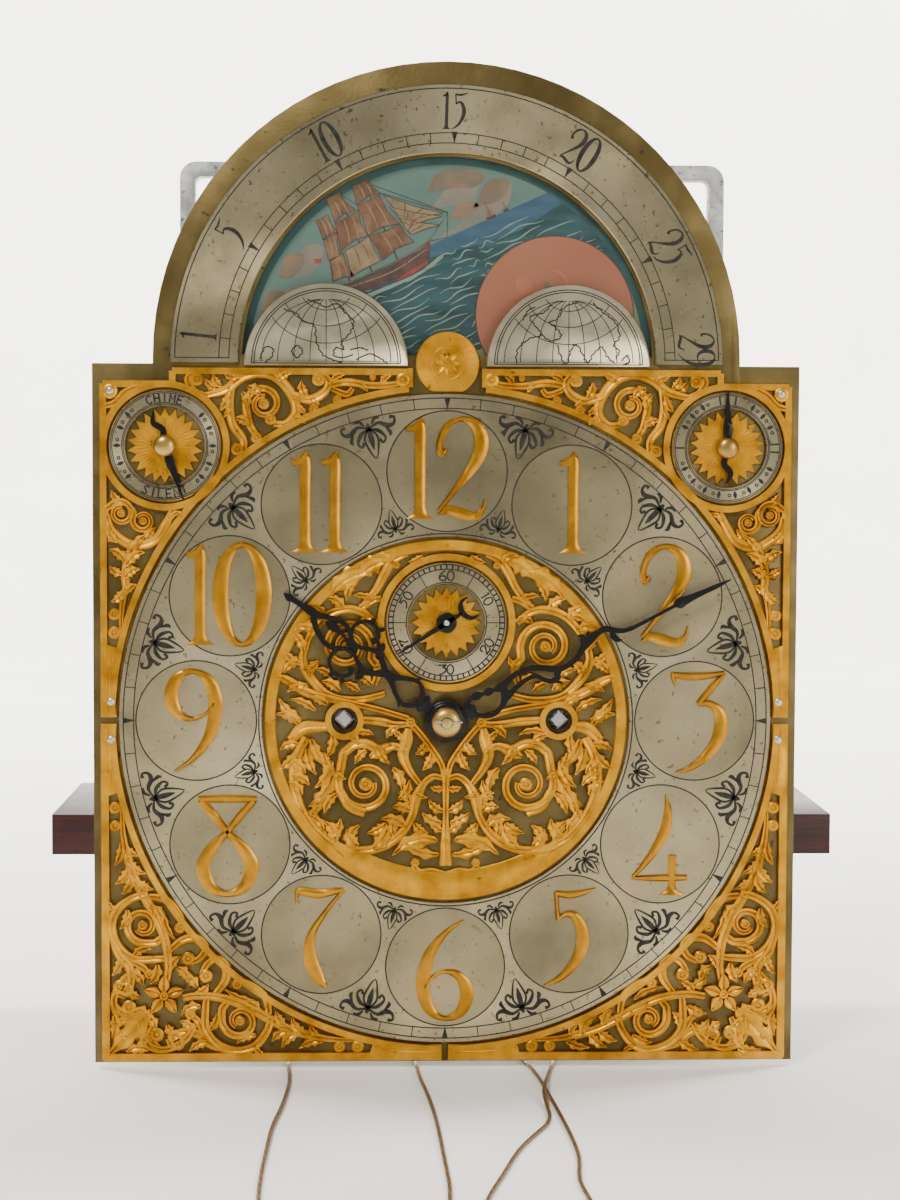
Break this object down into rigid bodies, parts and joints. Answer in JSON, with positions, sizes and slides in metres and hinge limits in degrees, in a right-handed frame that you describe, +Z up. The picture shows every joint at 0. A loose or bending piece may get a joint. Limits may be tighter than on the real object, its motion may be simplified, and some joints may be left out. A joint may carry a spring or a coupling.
{
  "type": "hall clock movement with moon dial",
  "caption": "Hall clock movement on its seat board: break-arch dial with moon disc, chapter ring, small dials, hands, wheel trains, drums, hammers and weight cables.",
  "frame": {"origin": "centre of the seat board's underside, which rests on the case's cheeks", "axes": "+Z up, the dial's front faces -Y, +X to the right as seen from the front"},
  "size_m": [0.41, 0.4565, 0.5081],
  "materials": {
    "mahogany": "french polished",
    "patinated_brass": "dark matt patina",
    "brass": "lacquered, satin",
    "gilt": "gilt, engraved",
    "silvered": "silvered, circular brushed",
    "steel": "bright",
    "blued_steel": "blued and polished",
    "cast_iron": "mottled grey",
    "painted": "oil painted",
    "cable": "stranded bronze"
  },
  "bodies": {
    "movement": {"seat_board": "mahogany", "front_plate": "brass", "back_plate": "brass", "dial_plate": "patinated_brass", "chapter_ring": "silvered", "centre_fret": "gilt", "seconds_ring": "silvered", "silent_ring": "silvered", "tune_ring": "silvered", "lunar_ring": "silvered", "hemisphere_left": "silvered", "hemisphere_right": "silvered", "medallion": "gilt", "corner_fret_lower_left": "gilt", "corner_fret_lower_right": "gilt", "corner_fret_upper_left": "gilt", "corner_fret_upper_right": "gilt", "chime_frame": "cast_iron", "suspension_cock": "brass", "cable_hook_left": "steel", "cable_hook_right": "steel", "pillar_1": "brass", "pillar_2": "brass", "pillar_3": "brass", "pillar_4": "brass", "left_cable_out": "cable", "left_cable_back": "cable", "left_cable_coil": "cable", "right_cable_out": "cable", "right_cable_back": "cable", "right_cable_coil": "cable"},
    "minute": {"centre_arbor": "brass", "minute_hand": "blued_steel", "hand_collet": "brass"},
    "hour": {"hour_wheel": "brass", "hour_hand": "blued_steel"},
    "minute_wheel": {"minute_wheel": "brass"},
    "third": {"third_wheel": "brass"},
    "seconds": {"escape_wheel": "brass", "seconds_hand": "blued_steel"},
    "pallets": {"pallets": "steel"},
    "going_great_wheel": {"going_great_wheel": "brass"},
    "going_drum": {"going_drum": "brass"},
    "chime_great_wheel": {"chime_great_wheel": "brass"},
    "chime_drum": {"chime_drum": "brass"},
    "chime_second": {"chime_second_wheel": "brass"},
    "chime_fly": {"chime_fly": "steel"},
    "chime_barrel": {"chime_barrel": "brass"},
    "moon": {"moon_disc": "painted"},
    "silent_lever": {"silent_hand": "blued_steel"},
    "tune_lever": {"tune_hand": "blued_steel"},
    "hammer_1": {"chime_hammer_1": "brass"},
    "hammer_2": {"chime_hammer_2": "brass"},
    "hammer_3": {"chime_hammer_3": "brass"},
    "hammer_4": {"chime_hammer_4": "brass"},
    "hammer_5": {"chime_hammer_5": "brass"},
    "hammer_6": {"chime_hammer_6": "brass"},
    "hammer_7": {"chime_hammer_7": "brass"},
    "hammer_8": {"chime_hammer_8": "brass"}
  },
  "joints": [
    {"name": "minute_turn", "type": "hinge", "parent": "movement", "child": "minute", "pos_m": [0, -0.102, 0.0755], "axis": [0, 1, 0], "continuous": true},
    {"name": "hour_turn", "type": "hinge", "parent": "movement", "child": "hour", "pos_m": [0, -0.102, 0.0755], "axis": [0, 1, 0], "continuous": true},
    {"name": "minute_wheel_turn", "type": "hinge", "parent": "movement", "child": "minute_wheel", "pos_m": [0.0198, -0.102, 0.0557], "axis": [0, 1, 0], "continuous": true},
    {"name": "third_turn", "type": "hinge", "parent": "movement", "child": "third", "pos_m": [0.0174, -0.102, 0.1127], "axis": [0, 1, 0], "continuous": true},
    {"name": "seconds_turn", "type": "hinge", "parent": "movement", "child": "seconds", "pos_m": [0, -0.102, 0.1252], "axis": [0, 1, 0], "continuous": true},
    {"name": "pallets_rock", "type": "hinge", "parent": "movement", "child": "pallets", "pos_m": [0, -0.102, 0.1522], "axis": [0, 1, 0], "range_deg": [-2.5, 2.5]},
    {"name": "going_great_wheel_turn", "type": "hinge", "parent": "movement", "child": "going_great_wheel", "pos_m": [0.0571, -0.102, 0.0755], "axis": [0, 1, 0], "continuous": true},
    {"name": "going_drum_wind", "type": "hinge", "parent": "movement", "child": "going_drum", "pos_m": [0.0571, -0.102, 0.0755], "axis": [0, 1, 0], "continuous": true},
    {"name": "chime_great_wheel_turn", "type": "hinge", "parent": "movement", "child": "chime_great_wheel", "pos_m": [-0.0514, -0.102, 0.0755], "axis": [0, 1, 0], "continuous": true},
    {"name": "chime_drum_wind", "type": "hinge", "parent": "movement", "child": "chime_drum", "pos_m": [-0.0514, -0.102, 0.0755], "axis": [0, 1, 0], "continuous": true},
    {"name": "chime_second_turn", "type": "hinge", "parent": "movement", "child": "chime_second", "pos_m": [-0.0603, -0.102, 0.1257], "axis": [0, 1, 0], "continuous": true},
    {"name": "chime_fly_turn", "type": "hinge", "parent": "movement", "child": "chime_fly", "pos_m": [-0.0413, -0.102, 0.1527], "axis": [0, 1, 0], "continuous": true},
    {"name": "chime_barrel_turn", "type": "hinge", "parent": "movement", "child": "chime_barrel", "pos_m": [-0.0703, -0.102, 0.1767], "axis": [0, 1, 0], "continuous": true},
    {"name": "moon_turn", "type": "hinge", "parent": "movement", "child": "moon", "pos_m": [0, -0.102, 0.2555], "axis": [0, 1, 0], "continuous": true},
    {"name": "silent_lever_turn", "type": "hinge", "parent": "movement", "child": "silent_lever", "pos_m": [-0.1414, -0.102, 0.2137], "axis": [0, 1, 0], "range_deg": [-160, 0]},
    {"name": "tune_lever_turn", "type": "hinge", "parent": "movement", "child": "tune_lever", "pos_m": [0.1414, -0.102, 0.2137], "axis": [0, 1, 0], "range_deg": [0, 180]},
    {"name": "hammer_1_lift", "type": "hinge", "parent": "movement", "child": "hammer_1", "pos_m": [-0.0915, 0.036, 0.2905], "axis": [1, 0, 0], "range_deg": [0, 20], "stiffness_Nm_per_rad": 0.1, "springref_deg": -11.46},
    {"name": "hammer_2_lift", "type": "hinge", "parent": "movement", "child": "hammer_2", "pos_m": [-0.0585, 0.036, 0.2905], "axis": [1, 0, 0], "range_deg": [0, 20], "stiffness_Nm_per_rad": 0.1, "springref_deg": -11.46},
    {"name": "hammer_3_lift", "type": "hinge", "parent": "movement", "child": "hammer_3", "pos_m": [-0.0255, 0.036, 0.2905], "axis": [1, 0, 0], "range_deg": [0, 20], "stiffness_Nm_per_rad": 0.1, "springref_deg": -11.46},
    {"name": "hammer_4_lift", "type": "hinge", "parent": "movement", "child": "hammer_4", "pos_m": [0.0075, 0.036, 0.2905], "axis": [1, 0, 0], "range_deg": [0, 20], "stiffness_Nm_per_rad": 0.1, "springref_deg": -11.46},
    {"name": "hammer_5_lift", "type": "hinge", "parent": "movement", "child": "hammer_5", "pos_m": [0.0405, 0.036, 0.2905], "axis": [1, 0, 0], "range_deg": [0, 20], "stiffness_Nm_per_rad": 0.1, "springref_deg": -11.46},
    {"name": "hammer_6_lift", "type": "hinge", "parent": "movement", "child": "hammer_6", "pos_m": [0.0735, 0.036, 0.2905], "axis": [1, 0, 0], "range_deg": [0, 20], "stiffness_Nm_per_rad": 0.1, "springref_deg": -11.46},
    {"name": "hammer_7_lift", "type": "hinge", "parent": "movement", "child": "hammer_7", "pos_m": [0.1065, 0.036, 0.2905], "axis": [1, 0, 0], "range_deg": [0, 20], "stiffness_Nm_per_rad": 0.1, "springref_deg": -11.46},
    {"name": "hammer_8_lift", "type": "hinge", "parent": "movement", "child": "hammer_8", "pos_m": [0.1395, 0.036, 0.2905], "axis": [1, 0, 0], "range_deg": [0, 20], "stiffness_Nm_per_rad": 0.1, "springref_deg": -11.46}
  ],
  "couplings": [
    {"joint": "hour_turn", "follows": "minute_turn", "ratio": 0.083333},
    {"joint": "minute_wheel_turn", "follows": "minute_turn", "ratio": -0.66667},
    {"joint": "third_turn", "follows": "minute_turn", "ratio": -7.5},
    {"joint": "seconds_turn", "follows": "minute_turn", "ratio": 60},
    {"joint": "going_great_wheel_turn", "follows": "minute_turn", "ratio": -0.083333},
    {"joint": "chime_second_turn", "follows": "chime_great_wheel_turn", "ratio": -9},
    {"joint": "chime_fly_turn", "follows": "chime_great_wheel_turn", "ratio": 54},
    {"joint": "chime_barrel_turn", "follows": "chime_great_wheel_turn", "ratio": 10.8}
  ]
}
